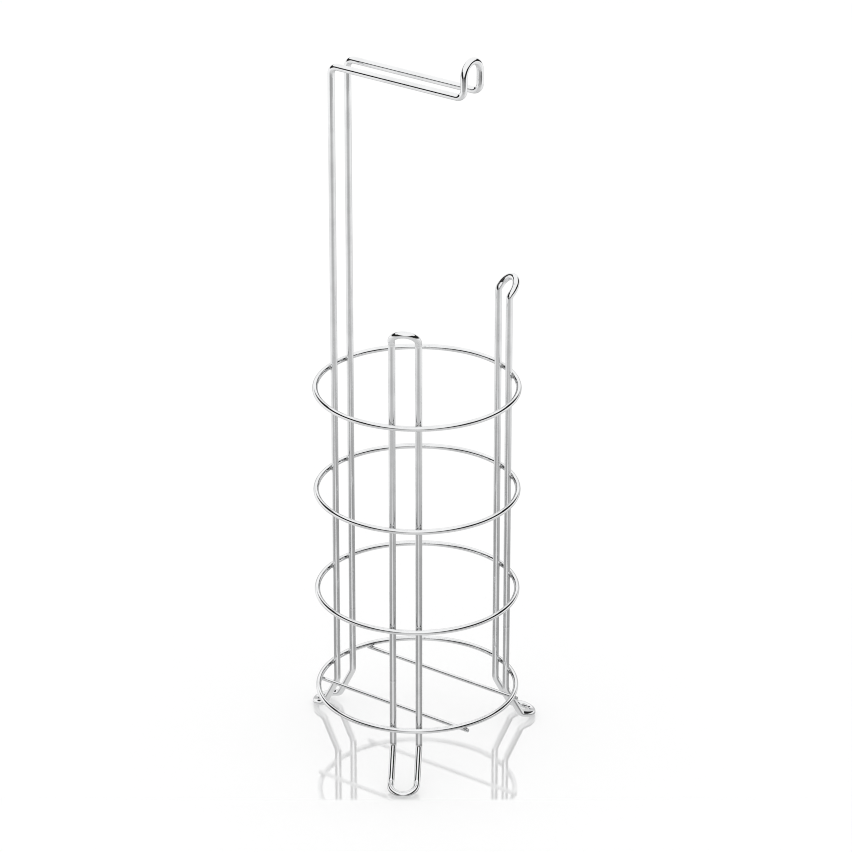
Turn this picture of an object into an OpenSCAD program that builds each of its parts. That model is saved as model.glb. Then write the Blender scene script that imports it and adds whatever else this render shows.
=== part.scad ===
// Toilet roll storage holder: a free-standing stand, bent and welded from chrome-plated steel wire.
// Spare rolls stack inside four rings, and the roll in use hangs on the arm of the tall loop.
// The origin is on the axis of the rings at floor level, with +Z up and +X the way the arm points.
// Every loop is one closed wire: a foot that slopes down to its U, a pair of uprights and a U at the top.

/* [Wire] */
// Diameter of the wire of the tall loop and the two leg loops
loop_wire_d = 5; // [3:0.5:7]
// Diameter of the wire of the rings
ring_wire_d = 4; // [3:0.5:6]
// Diameter of the two wires that the lowest roll stands on
base_wire_d = 3; // [2:0.5:5]

/* [Rings] */
// Diameter of each ring, across the middle of its wire
ring_d = 148.4; // [130:0.1:180]
// Number of rings
ring_count = 4; // [2:1:4]
// Height of the lowest ring, at the middle of its wire
first_ring_z = 44.7; // [38:0.1:60]
// Height from one ring to the next
ring_pitch = 81.5; // [60:0.5:85]

/* [Loops] */
// Distance between the two uprights of a loop, from middle to middle
upright_spacing = 19.2; // [14:0.1:26]
// Extra thickness that the wire takes on where it is bent
bend_swell = 0.02; // [0.02:0.01:0.1]
// Turn from the tall loop to each leg loop, around the axis of the rings
leg_loop_turn = 120; // [90:1:130]
// Height at which the top of a leg loop bends outward
leg_bend_z = 352.1; // [340:0.1:380]
// Lean of the top of a leg loop, away from vertical
leg_top_lean = 37; // [15:1:60]
// Straight length of the leaning top, from its bend to its U
leg_top_run = 3.8; // [3.4:0.1:10]
// Radius of the bend below the leaning top, at the middle of the wire
leg_top_bend_r = 5; // [4:0.5:9]

/* [Feet] */
// Height at which the uprights bend outward to the foot
ankle_z = 30.6; // [24:0.1:33]
// Distance that the sloping shin runs outward, down to the heel
shin_reach = 13; // [9:0.1:18]
// Slope of the foot, from the heel down to its tip on the floor
foot_slope = 16; // [0:1:25]
// Length of the foot, from the heel to its U
foot_run = 4; // [3.2:0.1:12]
// Radius of the bend at the ankle, at the middle of the wire
ankle_bend_r = 8; // [4:0.5:10]
// Radius of the bend at the heel, at the middle of the wire
heel_bend_r = 5; // [3.6:0.1:5]

/* [Arm] */
// Height of the arm that the roll in use hangs on, at the middle of its wires
arm_z = 524; // [450:0.5:560]
// Length of the arm, from the tall uprights to its raised end
arm_length = 117.2; // [105:0.1:140]
// Height that the raised end climbs above the arm before its U
arm_end_rise = 15.3; // [13:0.1:30]
// Radius of the bends at both ends of the arm, at the middle of the wire
arm_bend_r = 6; // [4:0.5:6.5]

/* [Base wires] */
// Distance from the middle of the base to each base wire
base_wire_offset = 31; // [20:0.5:45]
// Length of a base wire that shows past the outside of the lowest ring
base_wire_overhang = 0.8; // [0.3:0.1:5]

/* [Welds] */
// Space between two wires at the spot where a weld joins them
weld_gap = 0.1; // [0.05:0.05:0.3]
// Width of the welds between the rings and the uprights
ring_weld_d = 3.2; // [2:0.1:3.6]
// Width of the welds between the base wires and the lowest ring
base_weld_d = 2.2; // [1.4:0.1:2.6]

/* [Hidden] */

section_fn = 64;
bend_fn = 96;
ring_fn = 256;

ring_r = ring_d / 2;
half_spacing = upright_spacing / 2;

// The uprights stand inside the rings, each with only the weld gap between the two wires
upright_r = ring_r - ring_wire_d / 2 - weld_gap - loop_wire_d / 2;
pair_r = sqrt(pow(upright_r, 2) - pow(half_spacing, 2));
upright_turn = asin(half_spacing / upright_r);

tall_turn = 180;
right_turn = tall_turn + leg_loop_turn;
left_turn = tall_turn - leg_loop_turn;

// The base wires pass under the lowest ring, welded to its underside
base_wire_z = first_ring_z - ring_wire_d / 2 - weld_gap - base_wire_d / 2;
base_cross_x = sqrt(pow(ring_r, 2) - pow(base_wire_offset, 2));
base_wire_end = sqrt(pow(ring_r + ring_wire_d / 2, 2) - pow(base_wire_offset, 2)) + base_wire_overhang;

// Length of straight wire that carries on inside each bend, where the swell hides its end
bend_seat = 0.2;

// Corners of a loop's wire as [distance outward from the uprights, height], from the foot up
bend_wire_d = loop_wire_d + bend_swell;
foot_tip_z = bend_wire_d / 2;
heel_z = foot_tip_z + (foot_run + half_spacing) * sin(foot_slope);
foot_corners = [
    [shin_reach, heel_z] + foot_run * [cos(foot_slope), -sin(foot_slope)],
    [shin_reach, heel_z],
    [0, ankle_z]
];
foot_bends = [heel_bend_r, ankle_bend_r];

leg_corners = concat(foot_corners, [
    [0, leg_bend_z],
    [0, leg_bend_z] + leg_top_run * [sin(leg_top_lean), cos(leg_top_lean)]
]);
leg_bends = concat(foot_bends, [leg_top_bend_r]);

tall_corners = concat(foot_corners, [
    [0, arm_z],
    [-arm_length, arm_z],
    [-arm_length, arm_z + arm_end_rise]
]);
tall_bends = concat(foot_bends, [arm_bend_r, arm_bend_r]);

function ring_z(level) = first_ring_z + (level - 1) * ring_pitch;
function heading(from, to) = atan2(to[1] - from[1], to[0] - from[0]);
function along(angle) = [cos(angle), sin(angle)];
// Turn at a corner, positive to the left
function corner_turn(corners, i) =
    let (turn = heading(corners[i], corners[i + 1]) - heading(corners[i - 1], corners[i]))
    turn > 180 ? turn - 360 : turn < -180 ? turn + 360 : turn;
// Length of straight wire that the bend at a corner takes away, none at the two ends
function bend_setback(corners, bends, i) =
    i == 0 || i == len(corners) - 1 ? 0 : bends[i - 1] * tan(abs(corner_turn(corners, i)) / 2);

// A straight stretch of wire between two corners, shortened by the bends that it runs into
module straight_wire(corners, bends, i) {
    angle = heading(corners[i], corners[i + 1]);
    start = corners[i] + (bend_setback(corners, bends, i) - bend_seat) * along(angle);
    end = corners[i + 1] - (bend_setback(corners, bends, i + 1) - bend_seat) * along(angle);
    translate([start[0], 0, start[1]])
        rotate([0, 90 - angle, 0])
            cylinder(d = loop_wire_d, h = norm(end - start), $fn = section_fn);
}

// A bend at a corner, which starts and ends square to the straight stretches
module bent_wire(corners, bends, i) {
    angle = heading(corners[i - 1], corners[i]);
    turn = corner_turn(corners, i);
    side = sign(turn);
    bend_r = bends[i - 1];
    start = corners[i] - bend_setback(corners, bends, i) * along(angle);
    centre = start + bend_r * along(angle + side * 90);
    translate([centre[0], 0, centre[1]])
        rotate([90, 0, 0])
            rotate([0, 0, side > 0 ? angle - 90 : angle + 90 + turn])
                rotate_extrude(angle = abs(turn), $fn = bend_fn)
                    translate([bend_r, 0])
                        circle(d = bend_wire_d, $fn = section_fn);
}

// The U that closes a loop, from one upright's side to the other, facing along the angle
module closing_u(end, angle) {
    translate([end[0], 0, end[1]])
        rotate([0, 90 - angle, 0])
            rotate([0, 90, 0])
                rotate([0, 0, 90])
                    rotate_extrude(angle = 180, $fn = bend_fn)
                        translate([half_spacing, 0])
                            circle(d = bend_wire_d, $fn = section_fn);
}

// One side of a loop, from the end of its foot to the start of its top U
module loop_side(corners, bends) {
    for (i = [0 : len(corners) - 2])
        straight_wire(corners, bends, i);
    for (i = [1 : len(corners) - 2])
        bent_wire(corners, bends, i);
}

// A whole loop, turned to its place around the axis of the rings
module wire_loop(corners, bends, turn) {
    last = len(corners) - 1;
    color("silver")
        rotate([0, 0, turn])
            translate([pair_r, 0, 0])
                union() {
                    for (side = [-1, 1])
                        translate([0, side * half_spacing, 0])
                            loop_side(corners, bends);
                    closing_u(corners[0], heading(corners[1], corners[0]));
                    closing_u(corners[last], heading(corners[last - 1], corners[last]));
                }
}

// Ring of round wire at a level, counted from the floor up
module ring_wire(level) {
    translate([0, 0, ring_z(level)])
        rotate_extrude($fn = ring_fn)
            translate([ring_r, 0])
                circle(d = ring_wire_d, $fn = section_fn);
}

module ring(level) {
    color("silver")
        ring_wire(level);
}

module tall_loop() {
    wire_loop(tall_corners, tall_bends, tall_turn);
}

module right_leg_loop() {
    wire_loop(leg_corners, leg_bends, right_turn);
}

module left_leg_loop() {
    wire_loop(leg_corners, leg_bends, left_turn);
}

// Straight wire along X, to the left or the right of the middle of the base
module base_wire_body(side) {
    translate([-base_wire_end, side * base_wire_offset, base_wire_z])
        rotate([0, 90, 0])
            cylinder(d = base_wire_d, h = 2 * base_wire_end, $fn = section_fn);
}

module right_base_wire() {
    color("silver")
        base_wire_body(-1);
}

module left_base_wire() {
    color("silver")
        base_wire_body(1);
}

// Weld metal between one upright and a ring: a short plug from wire to wire, hollowed by both
module ring_weld(level, turn) {
    rotate([0, 0, turn])
        difference() {
            translate([upright_r, 0, ring_z(level)])
                rotate([0, 90, 0])
                    cylinder(d = ring_weld_d, h = ring_r - upright_r, $fn = section_fn);
            translate([upright_r, 0, ring_z(level) - ring_weld_d])
                cylinder(d = loop_wire_d, h = 2 * ring_weld_d, $fn = section_fn);
            ring_wire(level);
        }
}

module ring_welds(level) {
    color("gainsboro")
        for (turn = [tall_turn, right_turn, left_turn], side = [-1, 1])
            ring_weld(level, turn + side * upright_turn);
}

// Weld metal between a base wire and the underside of the lowest ring
module base_weld(end, side) {
    difference() {
        translate([end * base_cross_x, side * base_wire_offset, base_wire_z])
            cylinder(d = base_weld_d, h = first_ring_z - base_wire_z, $fn = section_fn);
        base_wire_body(side);
        ring_wire(1);
    }
}

module base_welds() {
    color("gainsboro")
        for (end = [-1, 1], side = [-1, 1])
            base_weld(end, side);
}

for (level = [1 : ring_count]) {
    ring(level);
    ring_welds(level);
}
tall_loop();
right_leg_loop();
left_leg_loop();
right_base_wire();
left_base_wire();
base_welds();
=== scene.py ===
"""Free-standing storage stand for toilet rolls, bent and welded from chrome-plated wire.

Three loops of 5 mm wire stand inside four rings of 4 mm wire, and two 3 mm wires cross the lowest ring.
Everything is in metres, with the origin on the axis of the rings at floor level.
"""
import math

import bpy
import numpy as np
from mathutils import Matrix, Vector, noise


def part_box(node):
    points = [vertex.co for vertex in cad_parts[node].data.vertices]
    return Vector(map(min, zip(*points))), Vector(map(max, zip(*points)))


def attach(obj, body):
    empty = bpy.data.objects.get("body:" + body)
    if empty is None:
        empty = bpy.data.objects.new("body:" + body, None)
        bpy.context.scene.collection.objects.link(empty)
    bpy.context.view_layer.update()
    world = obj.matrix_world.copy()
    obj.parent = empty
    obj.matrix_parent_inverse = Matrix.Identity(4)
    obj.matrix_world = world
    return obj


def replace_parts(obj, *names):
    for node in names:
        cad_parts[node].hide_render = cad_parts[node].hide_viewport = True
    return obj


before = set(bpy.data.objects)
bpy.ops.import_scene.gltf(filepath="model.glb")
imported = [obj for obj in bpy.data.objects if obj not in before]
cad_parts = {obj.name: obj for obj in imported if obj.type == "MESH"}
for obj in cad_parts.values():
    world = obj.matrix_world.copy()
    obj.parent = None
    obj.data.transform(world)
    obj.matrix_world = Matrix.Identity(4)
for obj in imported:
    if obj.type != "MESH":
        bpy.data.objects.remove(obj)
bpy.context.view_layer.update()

MM = 0.001

# Sizes that the frame gives
RING_LEVELS = (1, 2, 3, 4)
ring_low, ring_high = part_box("ring_1")
RING_WIRE_R = (ring_high.z - ring_low.z) / 2
RING_R = ring_high.x - RING_WIRE_R
RING_HEIGHTS = {level: sum(corner.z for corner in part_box(f"ring_{level}")) / 2 for level in RING_LEVELS}
base_low, base_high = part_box("left_base_wire")
BASE_WIRE_R = (base_high.z - base_low.z) / 2
BASE_WIRE_Y = (base_high.y + base_low.y) / 2
BASE_WIRE_Z = (base_high.z + base_low.z) / 2
BASE_WIRE_END = base_high.x
BASE_CROSS_X = math.sqrt(RING_R**2 - BASE_WIRE_Y**2)

# Sizes of the loops, as the part's source has them
LOOP_WIRE_R = 2.5 * MM
UPRIGHT_SPACING = 19.2 * MM
WELD_GAP = 0.1 * MM
SHIN_REACH = 13 * MM
FOOT_RUN = 4 * MM
FOOT_SLOPE = math.radians(16)
FOOT_TIP_Z = 2.51 * MM
ANKLE_Z = 30.6 * MM
HEEL_BEND_R = 5 * MM
ANKLE_BEND_R = 8 * MM
LEG_BEND_Z = 352.1 * MM
LEG_TOP_LEAN = math.radians(37)
LEG_TOP_RUN = 3.8 * MM
LEG_TOP_BEND_R = 5 * MM
ARM_Z = 524 * MM
ARM_LENGTH = 117.2 * MM
ARM_END_RISE = 15.3 * MM
ARM_BEND_R = 6 * MM

HALF_SPACING = UPRIGHT_SPACING / 2
HEEL_Z = FOOT_TIP_Z + (FOOT_RUN + HALF_SPACING) * math.sin(FOOT_SLOPE)
UPRIGHT_R = RING_R - RING_WIRE_R - WELD_GAP - LOOP_WIRE_R
PAIR_R = math.sqrt(UPRIGHT_R**2 - HALF_SPACING**2)
UPRIGHT_TURN = math.asin(HALF_SPACING / UPRIGHT_R)
LOOP_TURNS = {
    "tall_loop": math.radians(180),
    "right_leg_loop": math.radians(300),
    "left_leg_loop": math.radians(60),
}

# Camera, as fitted to the photo
CAMERA_PLACE = (1.57434, -2.09664, 1.45063)
CAMERA_TILT = math.radians(24.463)
CAMERA_HEADING = math.radians(36.758)
CAMERA_LENS_MM = 166.47
CAMERA_SENSOR_MM = 36
CAMERA_SIGHT = 50

# Table top, whose faint mirror image ends along a straight line in front of the feet
TABLE_WIDTH = 12
TABLE_COLOUR = (0.76, 0.76, 0.76, 1)
TABLE_LIFT = 0.26
TABLE_SHINE = 0.37
SHINE_EDGE = (0.100, 0.094)
SPECKLE_GRAIN = 1800.0
SPECKLE_DEPTH = 5e-6

# Light tent, which faces a little to the left of the camera: a round wall, and a soft box over the stand
TENT_TURN = math.radians(5)
TENT_R = 1.34
TENT_TOP = 2.6
TENT_SIDES = 96
SOFT_BOX_R = 0.67
SOFT_BOX_SHIFT = 0.03
SOFT_BOX_Z = 0.79

# Edges of the dark gap in the tent's wall, each with two azimuths from the tent's front, in degrees, and the
# heights there. On the left the second foot is added to the first
GAP_FOOT_RIGHT = (12, 100, -0.28, 0.34)
GAP_FOOT_LEFT = (12, 75, -0.25, 0.36)
GAP_FOOT_MORE_LEFT = (80, 130, 0.0, 0.3)
GAP_TOP = (8, 65, 0.3, 1.4)
GAP_TOP_SHIFT = 3
GAP_SIDE_BLUR = 5
GAP_FOOT_BLUR = 0.05
GAP_TOP_BLUR = 0.06

# Azimuths over which the gap gets its full darkness near the front, and fades out at the back
GAP_FRONT = (4, 19)
GAP_END = (158, 138)

# Patches of the wall and the table top, each with the azimuths over which it fades in, and the heights on the
# wall or distances on the table. The table's patches are painted light and shade on it, as the wires mirror
# it
WALL_LOW_FRONT = ((60, 30), (0.16, 0.04))
WALL_LOW_BACK = ((132, 155), (0.62, 0.15))
TABLE_FRONT = ((40, 10), (0.5, 0.9))
TABLE_FAR_SIDES = ((38, 75), (0.2, 0.5))
TABLE_BACK = ((132, 155), (0.1, 0.3))

# Tones as the wires mirror them, where 1 is white. The table's tones are painted light and shade on a glowing
# card
WHITE = (1, 1, 1, 1)
LIGHT_TONE = 1.1
GAP_TONE = 0.02
GAP_FRONT_TONE = 0.34
LOW_FRONT_TONE = 0.45
LOW_BACK_TONE = 0.62
# Painted light and shade of the table top as the wires mirror it: lighter far off at the sides, darker toward
# its front and back
TABLE_PAINTED_LIGHT = 0.76
TABLE_FRONT_PAINTED_SHADE = 0.55
TABLE_FAR_PAINTED_LIGHT = 0.96
TABLE_BACK_PAINTED_SHADE = 0.52

# Gloss of the table top as the wires mirror it: how it changes by angle and by distance, and what is left of
# it at the back
TABLE_ROUGHNESS = 0.12
GLOSS_BY_ANGLE = (0.3, 0.65, 0.0, 0.62)
GLOSS_BY_DISTANCE = (0.25, 0.85, 1.0, 0.1)
BACK_GLOSS = 0.1

# Mesh fineness
WIRE_SIDES = 36
STRAIGHT_STEP = 3 * MM
BEND_STEP = math.radians(5)
FEWEST_BEND_STEPS = 4
RING_STEPS = 240
WELD_STEP = 1 * MM
SEAM_STEP = 0.3 * MM
EDGE_ROWS = 5
BEAD_SIDES = 28
BEAD_ROWS = 9

# Marks that the making leaves: butt welds, bends and cut ends
LOOP_SEAM_Z = 84 * MM
RING_SEAM_TURN = math.radians(120)
SEAM_BULGE = 0.03 * MM
SEAM_WIDTH = 0.7 * MM
BEND_FLAT = 0.03
FULL_BEND_R = 6 * MM
BEND_EASE = 2 * MM
END_EDGE_R = 0.4 * MM

# Weld beads, and the marks they leave in the plating, which also paint shade onto the chrome where the wires
# meet
RING_BEAD_WAIST = 1.6 * MM
BASE_BEAD_WAIST = 1.1 * MM
BEAD_SPREAD = 1.3
BEAD_FLARE = 2.2
BEAD_LUMP = 0.08
LUMP_GRAIN = 2
LUMP_SEED_PER_RING = 10
LUMP_SEED_OF_BASE = 90
BEAD_SINK = 0.05 * MM
MOST_ACROSS = 0.92
# Width of the weld marks, which darken the chrome round each weld: partly thin plating, partly painted shade
# where the wires meet
WELD_MARK_SHARE = 1.5
WELD_MARK_SPAN = 8 * MM
SEAM_MARK = 0.35

# Grain of the marks on the chrome, in cells per metre, and how far lines and hairlines are drawn out
LINE_GRAIN = 1800.0
PEEL_GRAIN = 1400.0
HAIR_GRAIN = 420.0
RUBBED_GRAIN = 45.0
SMUDGE_GRAIN = 110.0
RAGGED_GRAIN = 900.0
PIT_GRAIN = 2200.0
RIPPLE_GRAIN = 1100.0
LINE_DRAWN_OUT = (1.0, 1.0, 0.02)
HAIR_DRAWN_OUT = (1.0, 0.03, 1.0)
HAIR_TURNS = (((1, 0, 0), 0.3), ((0, 1, 0), 0.8), ((0.6, 0.2, 1), 2.1))

# Parts of each grain's range over which its mark comes in. A bead's plating is thin all over, so the last one
# also has its least and most thinness
LINE_BAND = (0.35, 0.7)
HAZE_BAND = (0.4, 0.72)
RUBBED_BLUR = 0.08
SMUDGE_BAND = (0.5, 0.75)
HALO_BAND = (0.25, 0.95)
PIT_BAND = (0.1, 0.5)
RIPPLE_BAND = (0.3, 0.6, 0.5, 1.0)

# How much each mark wears the plating, and the plating's tones and roughness. The thin tone is also painted
# shade round the welds where the wires meet
LINE_WEAR = 0.3
HAIR_WEAR = 0.8
SMUDGE_WEAR = 0.4
BRIGHT_TONE = (0.83, 0.835, 0.84, 1)
HAZY_TONE = (0.76, 0.765, 0.77, 1)
THIN_AND_SHADED_TONE = (0.4, 0.4, 0.4, 1)
THIN_ROUGHNESS = 0.16
RIPPLE_DEPTH = 6e-5
WELD_SHINE = (0.1, 0.2)

# Finish of each wire: depth of its slow waves, grain of its haze, share of it that rolls rub, and roughness
# where it is clean and where it is worn
WIRE_FINISHES = {
    "loop_wire": (4e-5, 60.0, 0.35, (0.035, 0.12)),
    "ring_wire": (3e-5, 70.0, 0.5, (0.04, 0.13)),
    "base_wire": (3e-5, 80.0, 0.6, (0.05, 0.15)),
}

# Maps for the bake
MAP_EDGE = 0.004
CAP_SHARE = 0.04
CAP_FILL = 0.4

# A direction that no wire starts along, and the least number to divide by
ASIDE = (0.3, 0.2, 0.9)
TINY = 1e-6


class Tree:
    """A node tree that nodes are added to and joined in."""

    def __init__(self, tree):
        self.tree = tree

    def add(self, kind, values=None, **settings):
        made = self.tree.nodes.new(kind)
        for name, setting in settings.items():
            setattr(made, name, setting)
        for socket, value in (values or {}).items():
            self.feed(made.inputs[socket], value)
        return made

    def feed(self, socket, value):
        if isinstance(value, bpy.types.NodeSocket):
            self.tree.links.new(value, socket)
        else:
            socket.default_value = value

    def math(self, operation, first, second=0.0, clamp=False):
        made = self.add("ShaderNodeMath", {0: first, 1: second}, operation=operation, use_clamp=clamp)
        return made.outputs[0]

    def ramp(self, value, start, end, low=0.0, high=1.0):
        """A smooth step of value, from low at start to high at end."""
        values = {"Value": value, "From Min": start, "From Max": end, "To Min": low, "To Max": high}
        return self.add("ShaderNodeMapRange", values, interpolation_type="SMOOTHSTEP").outputs["Result"]

    def slope(self, value, start, end, low, high):
        """A straight step of value, from low at start to high at end."""
        values = {"Value": value, "From Min": start, "From Max": end, "To Min": low, "To Max": high}
        return self.add("ShaderNodeMapRange", values).outputs["Result"]

    def patch(self, azimuth, place, fades):
        """A patch that fades in over a span of azimuths, and over a span of heights or distances."""
        azimuths, places = fades
        return self.math("MULTIPLY", self.ramp(azimuth, *azimuths), self.ramp(place, *places))

    def blend(self, share, first, second):
        values = {"Factor": share, 2: first, 3: second}
        return self.add("ShaderNodeMix", values, data_type="FLOAT").outputs[0]

    def tint(self, share, first, second):
        """A blend of two colours."""
        values = {"Factor": share, 6: first, 7: second}
        return self.add("ShaderNodeMix", values, data_type="RGBA").outputs[2]

    def grain(self, place, scale, detail, roughness=0.5):
        """Noise at a place, from 0 to 1."""
        values = {"Vector": place, "Scale": scale, "Detail": detail, "Roughness": roughness}
        return self.add("ShaderNodeTexNoise", values).outputs["Fac"]

    def drawn_out(self, place, shares):
        """A place with its parts multiplied by shares: a grain there is drawn out along the smaller ones."""
        return self.add("ShaderNodeVectorMath", {0: place, 1: shares}, operation="MULTIPLY").outputs[0]


def add_camera():
    camera = bpy.data.objects.new("camera", bpy.data.cameras.new("camera"))
    bpy.context.scene.collection.objects.link(camera)
    camera.location = CAMERA_PLACE
    camera.rotation_euler = (math.pi / 2 - CAMERA_TILT, 0, CAMERA_HEADING)
    camera.data.sensor_width = CAMERA_SENSOR_MM
    camera.data.lens = CAMERA_LENS_MM
    camera.data.clip_end = CAMERA_SIGHT
    bpy.context.scene.camera = camera


def stage_mesh(name, corners, faces, paint):
    mesh = bpy.data.meshes.new(name)
    mesh.from_pydata(corners, [], faces)
    mesh.materials.append(paint)
    made = bpy.data.objects.new(name, mesh)
    bpy.context.scene.collection.objects.link(made)
    return made


def new_paint(name):
    """An empty material, and its node tree."""
    paint = bpy.data.materials.new(name)
    paint.use_nodes = True
    paint.node_tree.nodes.clear()
    return paint, Tree(paint.node_tree)


def white_world():
    world = bpy.data.worlds.new("white_room")
    bpy.context.scene.world = world
    world.use_nodes = True
    world.node_tree.nodes.clear()
    room = Tree(world.node_tree)
    background = room.add("ShaderNodeBackground", {"Color": WHITE, "Strength": 1.0})
    room.add("ShaderNodeOutputWorld", {"Surface": background.outputs["Background"]})


def turned_to_tent(tree, place):
    """Azimuth of a place from the front of the light tent, in degrees to either side, the same counted to the
    right alone, and the place's parts.
    """
    turn_values = {"Vector": place, "Angle": math.pi / 2 - CAMERA_HEADING + TENT_TURN}
    turned = tree.add("ShaderNodeVectorRotate", turn_values, rotation_type="Z_AXIS").outputs["Vector"]
    parts = tree.add("ShaderNodeSeparateXYZ", {"Vector": turned}).outputs
    to_right = tree.math("DEGREES", tree.math("ARCTAN2", parts["Y"], parts["X"]))
    return tree.math("ABSOLUTE", to_right), to_right, parts


def seen_in_mirrors(piece):
    """Leave a piece of the light tent to the mirror images in the chrome."""
    piece.visible_camera = False
    piece.visible_diffuse = False
    piece.visible_transmission = False
    piece.visible_shadow = False


def make_glow(paint, tree, strength):
    """Finish a material as a plain white glow, which isn't sampled as a lamp."""
    glow = tree.add("ShaderNodeEmission", {"Color": WHITE, "Strength": strength}).outputs["Emission"]
    tree.add("ShaderNodeOutputMaterial", {"Surface": glow})
    paint.cycles.emission_sampling = "NONE"


def wall_tone(tree):
    """Tone of the light tent's wall: white with a dark gap, and darker low down at its front and back.

    The gap is low and faint at the front. It rises along both sides, sooner on the left, up to where the soft
    box hides it.
    """
    azimuth, to_right, parts = turned_to_tent(tree, tree.add("ShaderNodeTexCoord").outputs["Object"])
    height = parts["Z"]
    left_foot = tree.slope(azimuth, *GAP_FOOT_LEFT)
    left_foot = tree.math("ADD", left_foot, tree.slope(azimuth, *GAP_FOOT_MORE_LEFT))
    right_share = tree.ramp(to_right, -GAP_SIDE_BLUR, GAP_SIDE_BLUR)
    foot = tree.blend(right_share, left_foot, tree.slope(azimuth, *GAP_FOOT_RIGHT))
    over_foot = tree.math("SUBTRACT", height, foot)
    from_middle = tree.math("ABSOLUTE", tree.math("SUBTRACT", to_right, GAP_TOP_SHIFT))
    under_top = tree.math("SUBTRACT", tree.slope(from_middle, *GAP_TOP), height)
    gap = tree.ramp(over_foot, -GAP_FOOT_BLUR, GAP_FOOT_BLUR)
    gap = tree.math("MULTIPLY", gap, tree.ramp(under_top, -GAP_TOP_BLUR, GAP_TOP_BLUR))
    gap = tree.math("MULTIPLY", gap, tree.ramp(azimuth, *GAP_END))
    light = tree.blend(tree.patch(azimuth, height, WALL_LOW_BACK), LIGHT_TONE, LOW_BACK_TONE)
    tone = tree.blend(gap, light, tree.ramp(azimuth, *GAP_FRONT, GAP_FRONT_TONE, GAP_TONE))
    return tree.blend(tree.patch(azimuth, height, WALL_LOW_FRONT), tone, LOW_FRONT_TONE)


def add_light_tent():
    """Light tent seen only in mirror images: a round wall with a dark gap, and a soft box over the stand."""
    paint, tree = new_paint("tent_wall")
    tone = wall_tone(tree)
    singular = tree.add("ShaderNodeLightPath").outputs["Is Singular Ray"]
    make_glow(paint, tree, tree.blend(singular, tone, 1.0))
    angles = np.arange(TENT_SIDES) * 2 * math.pi / TENT_SIDES
    round_line = np.column_stack([np.cos(angles), np.sin(angles), np.zeros(TENT_SIDES)])
    foot, top = TENT_R * round_line, TENT_R * round_line + (0, 0, TENT_TOP)
    faces = []
    for i in range(TENT_SIDES):
        j = (i + 1) % TENT_SIDES
        faces.append((i, j, j + TENT_SIDES, i + TENT_SIDES))
    seen_in_mirrors(stage_mesh("tent_wall", np.vstack([foot, top]).tolist(), faces, paint))
    white, tree = new_paint("soft_box")
    make_glow(white, tree, LIGHT_TONE)
    to_right = SOFT_BOX_SHIFT * np.array([math.cos(CAMERA_HEADING), math.sin(CAMERA_HEADING), 0])
    rim = SOFT_BOX_R * round_line + to_right + (0, 0, SOFT_BOX_Z)
    seen_in_mirrors(stage_mesh("soft_box", rim.tolist(), [tuple(range(TENT_SIDES))], white))


def table_in_wires(tree, place):
    """The table top as the wires mirror it: pale, glossy at a low angle, and a glowing card with painted
    light and shade, lighter far off at the sides and darker toward its front and back.
    """
    azimuth = turned_to_tent(tree, place)[0]
    distance = tree.add("ShaderNodeVectorMath", {0: place}, operation="LENGTH").outputs["Value"]
    # Painted light and shade: the glowing card is lighter far off at the sides and darker toward the front
    # and back of the table
    tone = tree.blend(tree.patch(azimuth, distance, TABLE_FAR_SIDES), TABLE_PAINTED_LIGHT, TABLE_FAR_PAINTED_LIGHT)
    tone = tree.blend(tree.patch(azimuth, distance, TABLE_FRONT), tone, TABLE_FRONT_PAINTED_SHADE)
    back = tree.patch(azimuth, distance, TABLE_BACK)
    tone = tree.blend(back, tone, TABLE_BACK_PAINTED_SHADE)
    painted_table_light = tree.add("ShaderNodeEmission", {"Color": WHITE, "Strength": tone}).outputs["Emission"]
    gloss_values = {"Color": WHITE, "Roughness": TABLE_ROUGHNESS}
    gloss = tree.add("ShaderNodeBsdfAnisotropic", gloss_values).outputs["BSDF"]
    facing = tree.add("ShaderNodeLayerWeight", {"Blend": 0.5}).outputs["Facing"]
    by_angle = tree.ramp(facing, *GLOSS_BY_ANGLE)
    share = tree.math("MULTIPLY", by_angle, tree.ramp(distance, *GLOSS_BY_DISTANCE))
    share = tree.blend(back, share, BACK_GLOSS)
    return tree.add("ShaderNodeMixShader", {"Fac": share, 1: painted_table_light, 2: gloss}).outputs["Shader"]


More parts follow.
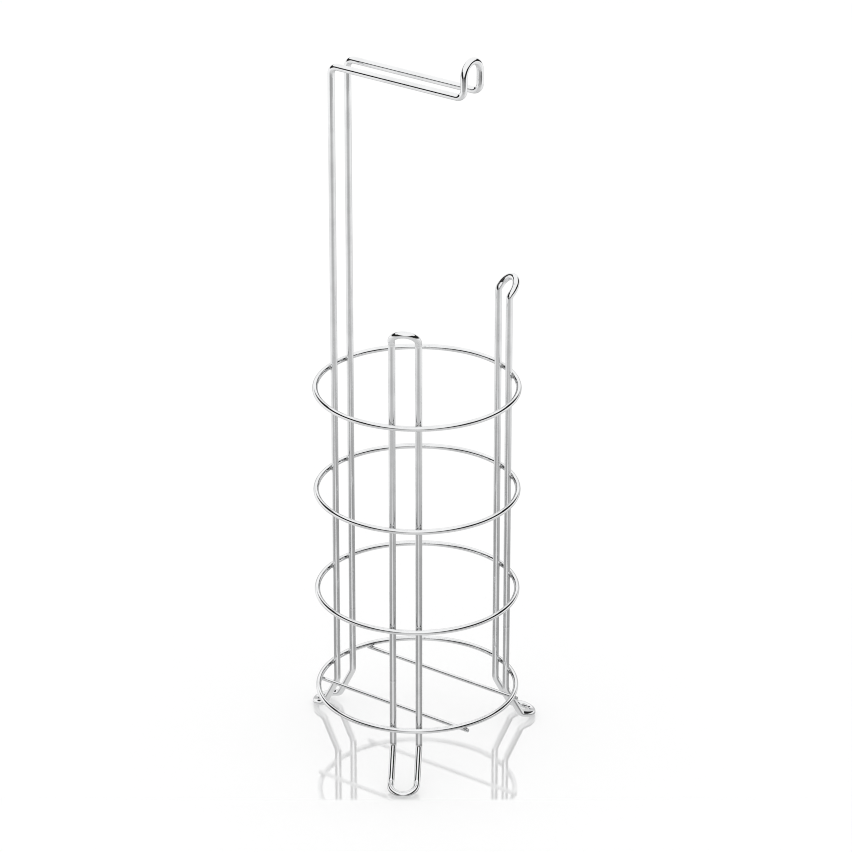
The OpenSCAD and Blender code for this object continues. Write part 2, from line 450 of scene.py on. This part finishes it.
def add_floor():
    """Pale table top with a faint mirror image under the stand."""
    paint, tree = new_paint("table_top")
    place = tree.add("ShaderNodeTexCoord").outputs["Object"]
    reach_values = {0: place, 1: (math.sin(CAMERA_HEADING), -math.cos(CAMERA_HEADING), 0)}
    toward_camera = tree.add("ShaderNodeVectorMath", reach_values, operation="DOT_PRODUCT").outputs["Value"]
    shine = tree.ramp(toward_camera, *SHINE_EDGE, 0.0, TABLE_SHINE)
    speckle = tree.grain(place, SPECKLE_GRAIN, 1.0)
    uneven_values = {"Strength": 1.0, "Distance": SPECKLE_DEPTH, "Height": speckle}
    uneven = tree.add("ShaderNodeBump", uneven_values).outputs["Normal"]
    matt = tree.add("ShaderNodeBsdfDiffuse", {"Color": TABLE_COLOUR}).outputs["BSDF"]
    lift = tree.add("ShaderNodeEmission", {"Color": WHITE, "Strength": TABLE_LIFT}).outputs["Emission"]
    pale = tree.add("ShaderNodeAddShader", {0: matt, 1: lift}).outputs["Shader"]
    gloss_values = {"Color": WHITE, "Roughness": 0.0, "Normal": uneven}
    gloss = tree.add("ShaderNodeBsdfAnisotropic", gloss_values).outputs["BSDF"]
    seen = tree.add("ShaderNodeMixShader", {"Fac": shine, 1: pale, 2: gloss}).outputs["Shader"]
    glossy = tree.add("ShaderNodeLightPath").outputs["Is Glossy Ray"]
    mirrored = table_in_wires(tree, place)
    surface = tree.add("ShaderNodeMixShader", {"Fac": glossy, 1: seen, 2: mirrored}).outputs["Shader"]
    tree.add("ShaderNodeOutputMaterial", {"Surface": surface})
    half = TABLE_WIDTH / 2
    corners = [(-half, -half, 0), (half, -half, 0), (half, half, 0), (-half, half, 0)]
    stage_mesh("table_top", corners, [(0, 1, 2, 3)], paint)


def new_group(name, inputs, outputs):
    """An empty shader node group with number inputs, and its tree, input and output nodes."""
    group = bpy.data.node_groups.new(name, "ShaderNodeTree")
    for label, value in inputs.items():
        socket = group.interface.new_socket(name=label, in_out="INPUT", socket_type="NodeSocketFloat")
        socket.default_value = value
    for label in outputs:
        group.interface.new_socket(name=label, in_out="OUTPUT", socket_type="NodeSocketFloat")
    tree = Tree(group)
    given = tree.add("NodeGroupInput").outputs
    result = tree.add("NodeGroupOutput").inputs
    return group, tree, given, result


def drawn_wire_group():
    """Marks of the drawing die: lines along the wire, and slow waves in its surface."""
    inputs = {"Line Depth": 2e-6, "Wave Depth": 2e-5, "Wave Length": 0.03}
    group, tree, given, result = new_group("drawn_wire", inputs, ["Height", "Lines"])
    place = tree.add("ShaderNodeAttribute", attribute_name="drawn").outputs["Vector"]
    lines = tree.grain(tree.drawn_out(place, LINE_DRAWN_OUT), LINE_GRAIN, 4.0)
    waves = tree.grain(place, tree.math("DIVIDE", 1.0, given["Wave Length"]), 1.0)
    line_height = tree.math("MULTIPLY", lines, given["Line Depth"])
    wave_height = tree.math("MULTIPLY", waves, given["Wave Depth"])
    tree.feed(result["Height"], tree.math("ADD", line_height, wave_height))
    tree.feed(result["Lines"], tree.ramp(lines, *LINE_BAND))
    return group


def plating_group():
    """Chrome plating: fine orange peel, and haze that comes and goes."""
    inputs = {"Peel Depth": 1e-6, "Haze Scale": 60.0}
    group, tree, given, result = new_group("plating", inputs, ["Height", "Haze"])
    place = tree.add("ShaderNodeTexCoord").outputs["Object"]
    peel = tree.grain(place, PEEL_GRAIN, 3.0)
    haze = tree.grain(place, given["Haze Scale"], 5.0)
    tree.feed(result["Height"], tree.math("MULTIPLY", peel, given["Peel Depth"]))
    tree.feed(result["Haze"], tree.ramp(haze, *HAZE_BAND))
    return group


def handling_group():
    """Marks of use: hairlines round the wire where rolls rub past it, and faint smudges."""
    inputs = {"Hairline Width": 0.02, "Rubbed Share": 0.5}
    group, tree, given, result = new_group("handling", inputs, ["Hairlines", "Smudges"])
    place = tree.add("ShaderNodeTexCoord").outputs["Object"]
    hairs = 0.0
    for axis, angle in HAIR_TURNS:
        turn_values = {"Vector": place, "Axis": axis, "Angle": angle}
        turned_place = tree.add("ShaderNodeVectorRotate", turn_values).outputs["Vector"]
        hair = tree.grain(tree.drawn_out(turned_place, HAIR_DRAWN_OUT), HAIR_GRAIN, 2.0)
        from_middle = tree.math("ABSOLUTE", tree.math("SUBTRACT", hair, 0.5))
        hairs = tree.math("ADD", hairs, tree.ramp(from_middle, given["Hairline Width"], 0.0))
    rub = tree.grain(place, RUBBED_GRAIN, 2.0)
    bare = tree.math("SUBTRACT", 1.0, given["Rubbed Share"])
    rubbed = tree.ramp(rub, tree.math("SUBTRACT", bare, RUBBED_BLUR), tree.math("ADD", bare, RUBBED_BLUR))
    tree.feed(result["Hairlines"], tree.math("MULTIPLY", hairs, rubbed, clamp=True))
    smudges = tree.grain(place, SMUDGE_GRAIN, 6.0, roughness=0.65)
    tree.feed(result["Smudges"], tree.ramp(smudges, *SMUDGE_BAND))
    return group


def halo_and_shade_group():
    """Thin plating where the heat of a weld has reached the wire, and painted shade where two wires meet: a
    dull halo with a ragged edge, and fine pits.
    """
    inputs = {"Ragged Share": 0.5, "Pit Depth": 1e-5}
    group, tree, given, result = new_group("weld_heat_and_shade", inputs, ["Halo", "Height"])
    place = tree.add("ShaderNodeTexCoord").outputs["Object"]
    mark = tree.add("ShaderNodeAttribute", attribute_name="weld_mark_and_shade").outputs["Fac"]
    ragged = tree.grain(place, RAGGED_GRAIN, 4.0)
    push = tree.math("MULTIPLY", tree.math("SUBTRACT", ragged, 0.5), given["Ragged Share"])
    # The halo darkens the chrome: thin plating, and painted shade where the wires meet at a weld
    halo = tree.ramp(tree.math("ADD", mark, push), *HALO_BAND)
    pits = tree.add("ShaderNodeTexVoronoi", {"Vector": place, "Scale": PIT_GRAIN}).outputs["Distance"]
    pit_height = tree.math("MULTIPLY", tree.ramp(pits, *PIT_BAND), given["Pit Depth"])
    tree.feed(result["Halo"], halo)
    tree.feed(result["Height"], tree.math("MULTIPLY", pit_height, halo))
    return group


GROUPS = {
    "drawn_wire": drawn_wire_group(),
    "plating": plating_group(),
    "handling": handling_group(),
    "weld_heat_and_shade": halo_and_shade_group(),
}


def add_group(tree, name, values):
    """A node group placed in a material with its own values."""
    placed = tree.add("ShaderNodeGroup", node_tree=GROUPS[name])
    for socket, value in values.items():
        placed.inputs[socket].default_value = value
    return placed.outputs


def finish_chrome(tree, worn, thin, shine, height):
    """Principled chrome: worn and thin are masks, and shine the roughness of clean and of worn plating. The
    thin mask darkens the colour: thin plating, and on the wires also painted shade round the welds where they
    meet.
    """
    bump_values = {"Strength": 1.0, "Distance": 1.0, "Height": height}
    bumped = tree.add("ShaderNodeBump", bump_values).outputs["Normal"]
    roughness = tree.blend(thin, tree.blend(worn, *shine), THIN_ROUGHNESS)
    # Painted shade: the thin tone darkens the chrome round the welds where the wires meet, as well as where
    # the plating is thin
    tone = tree.tint(thin, tree.tint(worn, BRIGHT_TONE, HAZY_TONE), THIN_AND_SHADED_TONE)
    shader_values = {"Base Color": tone, "Metallic": 1.0, "Roughness": roughness, "Normal": bumped}
    shader = tree.add("ShaderNodeBsdfPrincipled", shader_values).outputs["BSDF"]
    tree.add("ShaderNodeOutputMaterial", {"Surface": shader})


def wire_chrome(name, wave_depth, haze_scale, rubbed_share, shine):
    """Chrome-plated drawn wire, duller and darker round its welds: thin plating there, and painted shade
    where the wires meet.
    """
    paint, tree = new_paint(name)
    drawn = add_group(tree, "drawn_wire", {"Line Depth": 1.5e-6, "Wave Depth": wave_depth})
    plated = add_group(tree, "plating", {"Peel Depth": 8e-7, "Haze Scale": haze_scale})
    handled = add_group(tree, "handling", {"Rubbed Share": rubbed_share})
    heated_and_shaded = add_group(tree, "weld_heat_and_shade", {"Pit Depth": 6e-6})
    worn = tree.math("ADD", plated["Haze"], tree.math("MULTIPLY", drawn["Lines"], LINE_WEAR))
    worn = tree.math("ADD", worn, tree.math("MULTIPLY", handled["Hairlines"], HAIR_WEAR))
    worn = tree.math("ADD", worn, tree.math("MULTIPLY", handled["Smudges"], SMUDGE_WEAR), clamp=True)
    height = tree.math("ADD", tree.math("ADD", drawn["Height"], plated["Height"]), heated_and_shaded["Height"])
    finish_chrome(tree, worn, heated_and_shaded["Halo"], shine, height)
    return paint


def weld_chrome(name):
    """Chrome-plated weld metal: rippled, and dull where the plating is thin."""
    paint, tree = new_paint(name)
    plated = add_group(tree, "plating", {"Peel Depth": 5e-6, "Haze Scale": 500.0})
    place = tree.add("ShaderNodeTexCoord").outputs["Object"]
    ripple = tree.grain(place, RIPPLE_GRAIN, 2.0)
    height = tree.math("ADD", plated["Height"], tree.math("MULTIPLY", ripple, RIPPLE_DEPTH))
    finish_chrome(tree, plated["Haze"], tree.ramp(ripple, *RIPPLE_BAND), WELD_SHINE, height)
    return paint


CHROME = {slot: wire_chrome(f"{slot}_chrome", *finish) for slot, finish in WIRE_FINISHES.items()}
CHROME["weld"] = weld_chrome("weld_chrome")


def unit(vector):
    return vector / np.linalg.norm(vector)


def straight(start, end):
    """Points from start up to, and not with, end."""
    count = max(1, round(np.linalg.norm(end - start) / STRAIGHT_STEP))
    return [start + (end - start) * i / count for i in range(count)]


def bent_line(corners, radii):
    """A line through corners whose inner corners are bends of the given radii."""
    points = []
    here = corners[0]
    for before, corner, after, radius in zip(corners, corners[1:], corners[2:], radii):
        back, ahead = unit(before - corner), unit(after - corner)
        turn = math.pi - math.acos(back @ ahead)
        setback = radius * math.tan(turn / 2)
        centre = corner + unit(back + ahead) * math.hypot(radius, setback)
        start = corner + back * setback
        points += straight(here, start)
        steps = max(FEWEST_BEND_STEPS, round(turn / BEND_STEP))
        outward = (start - centre) / radius
        for i in range(steps):
            angle = turn * i / steps
            points.append(centre + radius * (outward * math.cos(angle) - back * math.sin(angle)))
        here = centre + radius * (outward * math.cos(turn) - back * math.sin(turn))
    return np.array(points + straight(here, corners[-1]) + [corners[-1]])


def closing_u(end, ahead):
    """Inner points of the half turn that joins the two sides of a loop, from the +Y side to the -Y side."""
    steps = round(math.pi / BEND_STEP)
    angles = np.arange(1, steps) * math.pi / steps
    out = HALF_SPACING * np.sin(angles)
    return np.column_stack([end[0] + out * ahead[0], HALF_SPACING * np.cos(angles), end[1] + out * ahead[1]])


def turned(points, turn):
    """Points turned around the axis of the rings."""
    cos, sin = math.cos(turn), math.sin(turn)
    return points @ np.array([[cos, sin, 0], [-sin, cos, 0], [0, 0, 1]])


def loop_line(corners, radii, turn):
    """Closed centreline of a loop: up one side, round the top U, down the other side and round the foot."""
    side = bent_line(corners, radii)
    up = np.column_stack([side[:, 0], np.full(len(side), HALF_SPACING), side[:, 1]])
    down = up[::-1] * (1, -1, 1)
    top = closing_u(side[-1], unit(side[-1] - side[-2]))
    foot = closing_u(side[0], unit(side[0] - side[1]))[::-1]
    line = np.vstack([up, top, down, foot])
    line[:, 0] += PAIR_R
    seam = len(up) + len(top) + np.argmin(np.abs(down[:, 2] - LOOP_SEAM_Z))
    return turned(np.roll(line, -seam, 0), turn)


def ring_line(height):
    angles = RING_SEAM_TURN + np.arange(RING_STEPS) * 2 * math.pi / RING_STEPS
    return np.column_stack([RING_R * np.cos(angles), RING_R * np.sin(angles), np.full(RING_STEPS, height)])


def cut_line(start, end):
    """A straight line whose points lie close where the edges of its cut ends are rounded."""
    way = unit(end - start)
    edge = END_EDGE_R * (1 - np.cos(np.linspace(0, math.pi / 2, EDGE_ROWS)))
    head = [start + way * step for step in edge]
    tail = [end - way * step for step in edge[::-1]]
    return np.array(head + straight(head[-1], tail[0])[1:] + tail)


def closer_points(line, closed, spots, span, step):
    """The line with extra points, a step apart, within a span of the spots."""
    points = []
    nexts = np.roll(line, -1, 0) if closed else line[1:]
    for here, there in zip(line, nexts):
        length = np.linalg.norm(there - here)
        near = np.linalg.norm(spots - (here + there) / 2, axis=1).min() < span + length / 2
        count = max(1, round(length / step)) if near else 1
        points += [here + (there - here) * i / count for i in range(count)]
    return np.array(points if closed else points + [line[-1]])


def wire_frames(line, closed):
    """Two directions across the line at each point, carried along it without twist."""
    ahead = np.roll(line, -1, 0) - line
    behind = line - np.roll(line, 1, 0)
    if not closed:
        ahead[-1] = behind[-1]
        behind[0] = ahead[0]
    ahead /= np.linalg.norm(ahead, axis=1)[:, None]
    behind /= np.linalg.norm(behind, axis=1)[:, None]
    tangents = ahead + behind
    tangents /= np.linalg.norm(tangents, axis=1)[:, None]
    normals = [unit(np.cross(tangents[0], ASIDE))]
    for tangent in tangents[1:]:
        last = normals[-1]
        normals.append(unit(last - (last @ tangent) * tangent))
    normals = np.array(normals)
    if closed:
        first, last = normals[0], normals[-1]
        carried = unit(last - (last @ tangents[0]) * tangents[0])
        twist = math.atan2(np.cross(carried, first) @ tangents[0], carried @ first)
        angles = twist * np.arange(len(line)) / len(line)
        sides = np.cross(tangents, normals)
        normals = normals * np.cos(angles)[:, None] + sides * np.sin(angles)[:, None]
    return normals, np.cross(tangents, normals)


def distances(line, closed):
    """Distance along the line to each point, and back to the first one if the line is closed."""
    if closed:
        line = np.vstack([line, line[:1]])
    return np.concatenate([[0], np.cumsum(np.linalg.norm(np.diff(line, axis=0), axis=1))])


def bend_pull(line, run, closed):
    """Arrow at each point toward the middle of its bend: longer in a tighter bend, and eased at its ends."""
    ahead = np.roll(line, -1, 0) - line
    behind = line - np.roll(line, 1, 0)
    ahead_length = np.linalg.norm(ahead, axis=1)
    behind_length = np.linalg.norm(behind, axis=1)
    curve = ahead / ahead_length[:, None] - behind / behind_length[:, None]
    if not closed:
        curve[[0, -1]] = 0
    along = run[:len(line)]
    apart = np.abs(along[:, None] - along)
    if closed:
        apart = np.minimum(apart, run[-1] - apart)
    weight = np.exp(-((apart / BEND_EASE) ** 2))
    share = weight @ ((ahead_length + behind_length) / 2)
    return FULL_BEND_R * (weight @ curve) / share[:, None]


def strip_map(mesh, run, radius, sides, caps):
    """UV map for the bake: the wire's skin cut into strips of even length that lie beside each other."""
    length = run[-1]
    strips = max(1, round(math.sqrt(length / (2 * math.pi * radius))))
    starts = [int(np.searchsorted(run, length * i / strips)) for i in range(strips)] + [len(run) - 1]
    longest = max(run[end] - run[start] for start, end in zip(starts, starts[1:]))
    width = 1 - 2 * MAP_EDGE - (CAP_SHARE if caps else 0)
    places = []
    for strip, (start, end) in enumerate(zip(starts, starts[1:])):
        for i in range(start, end):
            here, there = ((run[k] - run[start]) / longest * width + MAP_EDGE for k in (i, i + 1))
            for j in range(sides):
                low, high = ((strip + MAP_EDGE + (1 - 2 * MAP_EDGE) * k / sides) / strips for k in (j, j + 1))
                places += [(here, low), (here, high), (there, high), (there, low)]
    for cap in range(caps):
        for j in range(sides):
            angle = 2 * math.pi * j / sides
            across = CAP_SHARE * CAP_FILL * math.cos(angle)
            up = CAP_SHARE * CAP_FILL * math.sin(angle)
            places.append((1 - CAP_SHARE / 2 + across, (cap + 1) / (caps + 1) + up))
    layer = mesh.uv_layers.new(name="OFBake")
    layer.data.foreach_set("uv", np.array(places, np.float32).reshape(-1))


def rounded_edge(from_end):
    """How much a cut wire's radius shrinks near its end."""
    depth = np.clip(1 - from_end / END_EDGE_R, 0, 1)
    return END_EDGE_R * (1 - np.sqrt(1 - depth**2))


def wire_mesh(name, line, radius, closed, slot, spots):
    """A wire swept along a line as one smooth closed skin, a little flattened on the outside of its bends.

    A closed wire bulges a little where its ends are welded. Spots are the welds that mark its plating, and
    round which shade is painted where the wires meet.
    """
    normals, sides = wire_frames(line, closed)
    run = distances(line, closed)
    pull = bend_pull(line, run, closed)
    angles = np.arange(WIRE_SIDES) * 2 * math.pi / WIRE_SIDES
    out = np.cos(angles)[None, :, None] * normals[:, None] + np.sin(angles)[None, :, None] * sides[:, None]
    outside = np.clip(-(out * pull[:, None]).sum(2), 0, 1)
    along = run[:len(line)]
    from_end = np.minimum(along, run[-1] - along)
    grown = SEAM_BULGE * np.exp(-((from_end / SEAM_WIDTH) ** 2)) if closed else -rounded_edge(from_end)
    reach = radius * (1 - BEND_FLAT * outside**2) + grown[:, None]
    skin = line[:, None] + reach[..., None] * out
    drawn = np.empty_like(skin)
    drawn[..., 0] = radius * np.cos(angles)
    drawn[..., 1] = radius * np.sin(angles)
    drawn[..., 2] = along[:, None]
    # Weld marks: a real mark in the plating round each weld, and painted shade where the wires meet
    apart = np.linalg.norm(skin[:, :, None] - spots[None, None], axis=3).min(2)
    marks = np.exp(-((apart / (WELD_MARK_SHARE * radius)) ** 2))
    if closed:
        marks = np.maximum(marks, SEAM_MARK * np.exp(-((from_end / SEAM_WIDTH) ** 2))[:, None])
    count = len(line)
    faces = []
    for i in range(count if closed else count - 1):
        here, there = i * WIRE_SIDES, (i + 1) % count * WIRE_SIDES
        for j in range(WIRE_SIDES):
            k = (j + 1) % WIRE_SIDES
            faces.append((here + j, here + k, there + k, there + j))
    if not closed:
        faces.append(tuple(reversed(range(WIRE_SIDES))))
        faces.append(tuple(range((count - 1) * WIRE_SIDES, count * WIRE_SIDES)))
    mesh = bpy.data.meshes.new(name)
    mesh.from_pydata(skin.reshape(-1, 3).tolist(), [], faces)
    mesh.shade_smooth()
    drawn_layer = mesh.attributes.new("drawn", "FLOAT_VECTOR", "POINT")
    drawn_layer.data.foreach_set("vector", drawn.reshape(-1).astype(np.float32))
    mark_layer = mesh.attributes.new("weld_mark_and_shade", "FLOAT", "POINT")
    mark_layer.data.foreach_set("value", marks.reshape(-1).astype(np.float32))
    strip_map(mesh, run, radius, WIRE_SIDES, 0 if closed else 2)
    return add_piece(name, mesh, slot)


def add_piece(name, mesh, slot):
    mesh.materials.append(CHROME[slot])
    piece = bpy.data.objects.new(name, mesh)
    bpy.context.scene.collection.objects.link(piece)
    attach(piece, "root")
    return piece


def ring_weld_places(level):
    """Middle of each upright at a ring's height, with the way outward."""
    places = []
    for turn in LOOP_TURNS.values():
        for side in (-1, 1):
            outward = turned(np.array([[1.0, 0, 0]]), turn + side * UPRIGHT_TURN)[0]
            places.append((outward * UPRIGHT_R + (0, 0, RING_HEIGHTS[level]), outward))
    return places


def base_weld_places():
    """Middle of a base wire under the lowest ring, at each of the four crossings."""
    spots = [(end * BASE_CROSS_X, side * BASE_WIRE_Y, BASE_WIRE_Z) for end in (-1, 1) for side in (-1, 1)]
    return [np.array(spot) for spot in spots]


def contact_spots():
    """The places where two wires are welded, halfway between their skins."""
    spots = []
    to_skin = LOOP_WIRE_R + WELD_GAP / 2
    for level in RING_LEVELS:
        spots += [middle + outward * to_skin for middle, outward in ring_weld_places(level)]
    spots += [middle + (0, 0, BASE_WIRE_R + WELD_GAP / 2) for middle in base_weld_places()]
    return np.array(spots)


def surface_height(radius, axis, direction, distance):
    """Height of a round wire's skin above its middle, at a distance from the crossing."""
    across = distance * abs(np.cross(axis, direction)[2])
    return math.sqrt(radius**2 - min(across, MOST_ACROSS * radius) ** 2)


def weld_bead(waist, lower_r, upper_r, crossing, seed):
    """Corners and faces of a closed bead of weld metal between two crossing wires.

    The lower wire runs along X through the origin, and the upper one over it at the crossing angle.
    """
    lower_axis = np.array([1.0, 0, 0])
    upper_axis = np.array([math.cos(crossing), math.sin(crossing), 0])
    span = lower_r + WELD_GAP + upper_r
    corners = []
    for i in range(BEAD_SIDES):
        angle = 2 * math.pi * i / BEAD_SIDES
        direction = np.array([math.cos(angle), math.sin(angle), 0])
        lump_place = Vector((LUMP_GRAIN * direction[0], LUMP_GRAIN * direction[1], seed))
        lump = 1 + BEAD_LUMP * noise.noise(lump_place)
        feet = []
        for radius, axis in ((lower_r, lower_axis), (upper_r, upper_axis)):
            across = abs(np.cross(axis, direction)[2])
            reach = min(BEAD_SPREAD * waist * lump, MOST_ACROSS * radius / max(across, TINY))
            feet.append((reach, surface_height(radius, axis, direction, reach)))
        (low_reach, low_z), (high_reach, high_z) = feet
        low_z, high_z = low_z - BEAD_SINK, span - high_z + BEAD_SINK
        for k in range(BEAD_ROWS):
            share = k / (BEAD_ROWS - 1)
            end_reach = low_reach if share < 0.5 else high_reach
            flare = abs(2 * share - 1) ** BEAD_FLARE
            reach = waist * lump + (end_reach - waist * lump) * flare
            corners.append((*(reach * direction[:2]), low_z + (high_z - low_z) * share))
    faces = []
    for i in range(BEAD_SIDES):
        here, there = i * BEAD_ROWS, (i + 1) % BEAD_SIDES * BEAD_ROWS
        faces += [(here + k, there + k, there + k + 1, here + k + 1) for k in range(BEAD_ROWS - 1)]
    for row, height in ((0, lower_r / 2), (BEAD_ROWS - 1, span - upper_r / 2)):
        middle = len(corners)
        corners.append((0, 0, height))
        for i in range(BEAD_SIDES):
            here, there = i * BEAD_ROWS + row, (i + 1) % BEAD_SIDES * BEAD_ROWS + row
            faces.append((middle, there, here) if row == 0 else (middle, here, there))
    return np.array(corners), faces


def add_beads(name, beads):
    """One piece of all the beads, each given as its corners and faces."""
    corners, faces = [], []
    for bead_corners, bead_faces in beads:
        first = len(corners)
        corners += bead_corners.tolist()
        faces += [tuple(first + corner for corner in face) for face in bead_faces]
    mesh = bpy.data.meshes.new(name)
    mesh.from_pydata(corners, [], faces)
    mesh.shade_smooth()
    return add_piece(name, mesh, "weld")


def add_ring_welds(level):
    beads = []
    for seed, (middle, outward) in enumerate(ring_weld_places(level), LUMP_SEED_PER_RING * level):
        corners, faces = weld_bead(RING_BEAD_WAIST, LOOP_WIRE_R, RING_WIRE_R, math.pi / 2, seed)
        upward = np.array([0, 0, 1.0])
        frame_axes = np.array([upward, np.cross(outward, upward), outward])
        beads.append((middle + corners @ frame_axes, faces))
    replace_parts(add_beads(f"weld_beads_ring_{level}", beads), f"ring_{level}_welds")


def add_base_welds():
    beads = []
    for seed, middle in enumerate(base_weld_places(), LUMP_SEED_OF_BASE):
        tangent = math.atan2(middle[0], -middle[1])
        corners, faces = weld_bead(BASE_BEAD_WAIST, BASE_WIRE_R, RING_WIRE_R, tangent, seed)
        beads.append((middle + corners, faces))
    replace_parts(add_beads("weld_beads_base", beads), "base_welds")


def add_closed_wire(node, line, radius, slot, spots):
    """A bent wire whose two ends are welded together at the line's first point."""
    seam = line[:1]
    line = closer_points(line, True, spots, WELD_MARK_SPAN, WELD_STEP)
    line = closer_points(line, True, seam, 3 * SEAM_WIDTH, SEAM_STEP)
    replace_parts(wire_mesh(f"chrome_{node}", line, radius, True, slot, spots), node)


def add_loops(spots):
    foot_end = (SHIN_REACH + FOOT_RUN * math.cos(FOOT_SLOPE), HEEL_Z - FOOT_RUN * math.sin(FOOT_SLOPE))
    foot = [foot_end, (SHIN_REACH, HEEL_Z), (0, ANKLE_Z)]
    leg_top = (LEG_TOP_RUN * math.sin(LEG_TOP_LEAN), LEG_BEND_Z + LEG_TOP_RUN * math.cos(LEG_TOP_LEAN))
    leg = foot + [(0, LEG_BEND_Z), leg_top]
    tall = foot + [(0, ARM_Z), (-ARM_LENGTH, ARM_Z), (-ARM_LENGTH, ARM_Z + ARM_END_RISE)]
    leg_bends = [HEEL_BEND_R, ANKLE_BEND_R, LEG_TOP_BEND_R]
    tall_bends = [HEEL_BEND_R, ANKLE_BEND_R, ARM_BEND_R, ARM_BEND_R]
    for name, turn in LOOP_TURNS.items():
        corners, bends = (tall, tall_bends) if name == "tall_loop" else (leg, leg_bends)
        line = loop_line([np.array(corner) for corner in corners], bends, turn)
        add_closed_wire(name, line, LOOP_WIRE_R, "loop_wire", spots)


def add_rings(spots):
    for level, height in RING_HEIGHTS.items():
        add_closed_wire(f"ring_{level}", ring_line(height), RING_WIRE_R, "ring_wire", spots)


def add_base_wires(spots):
    for name, side in (("right_base_wire", -1), ("left_base_wire", 1)):
        ends = [np.array((x, side * BASE_WIRE_Y, BASE_WIRE_Z)) for x in (-BASE_WIRE_END, BASE_WIRE_END)]
        line = closer_points(cut_line(*ends), False, spots, WELD_MARK_SPAN, WELD_STEP)
        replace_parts(wire_mesh(f"chrome_{name}", line, BASE_WIRE_R, False, "base_wire", spots), name)


add_camera()
white_world()
add_light_tent()
add_floor()
weld_spots = contact_spots()
add_loops(weld_spots)
add_rings(weld_spots)
add_base_wires(weld_spots)
for weld_level in RING_LEVELS:
    add_ring_welds(weld_level)
add_base_welds()

bpy.context.scene.view_settings.view_transform = "Standard"
bpy.context.scene.cycles.filter_width = 1.0
